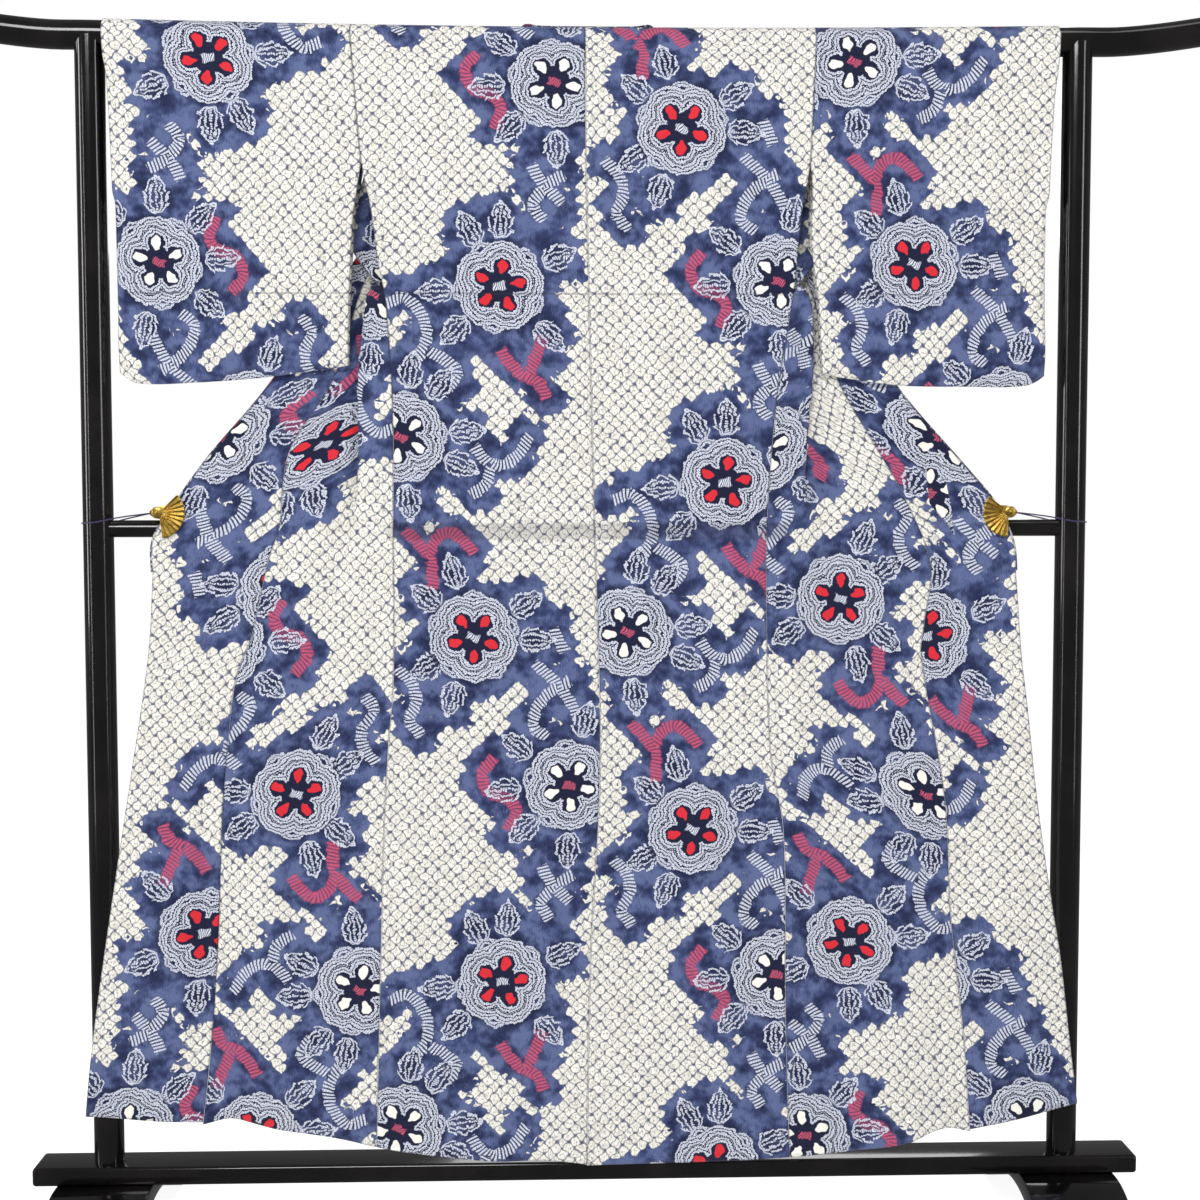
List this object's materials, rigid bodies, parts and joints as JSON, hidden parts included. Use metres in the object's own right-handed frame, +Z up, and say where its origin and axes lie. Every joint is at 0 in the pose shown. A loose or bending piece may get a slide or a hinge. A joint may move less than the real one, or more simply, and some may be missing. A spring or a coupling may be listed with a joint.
{
  "type": "yukata on a kimono stand",
  "caption": "Long straight-cut cotton robe with square sleeves, hung over the top rail of a lacquered stand with its fronts opened out.",
  "frame": {"origin": "on the floor, under the middle of the stand", "axes": "+Z up, +X along the top rail towards the garment's right sleeve as seen from the back, +Y from the back of the garment towards its front"},
  "size_m": [1.78, 0.43, 1.7061],
  "materials": {
    "cotton": "plain-weave cotton, tie-dyed blue on white, lightly crinkled",
    "lacquer": "black lacquer, high gloss",
    "gilt_metal": "gilt, polished",
    "cord": "dark purple twisted cord"
  },
  "bodies": {
    "root": {"stand_top_rail": "lacquer", "stand_post_left": "lacquer", "stand_post_right": "lacquer", "stand_mid_rail": "lacquer", "stand_plank": "lacquer", "stand_foot_left": "lacquer", "stand_foot_right": "lacquer", "collar": "cotton", "body_left": "cotton", "body_right": "cotton", "okumi_left": "cotton", "okumi_right": "cotton", "sleeve_left": "cotton", "sleeve_right": "cotton", "fan_clip_left": "gilt_metal", "fan_clip_right": "gilt_metal", "clip_cord_left": "cord", "clip_cord_right": "cord"}
  },
  "joints": []
}
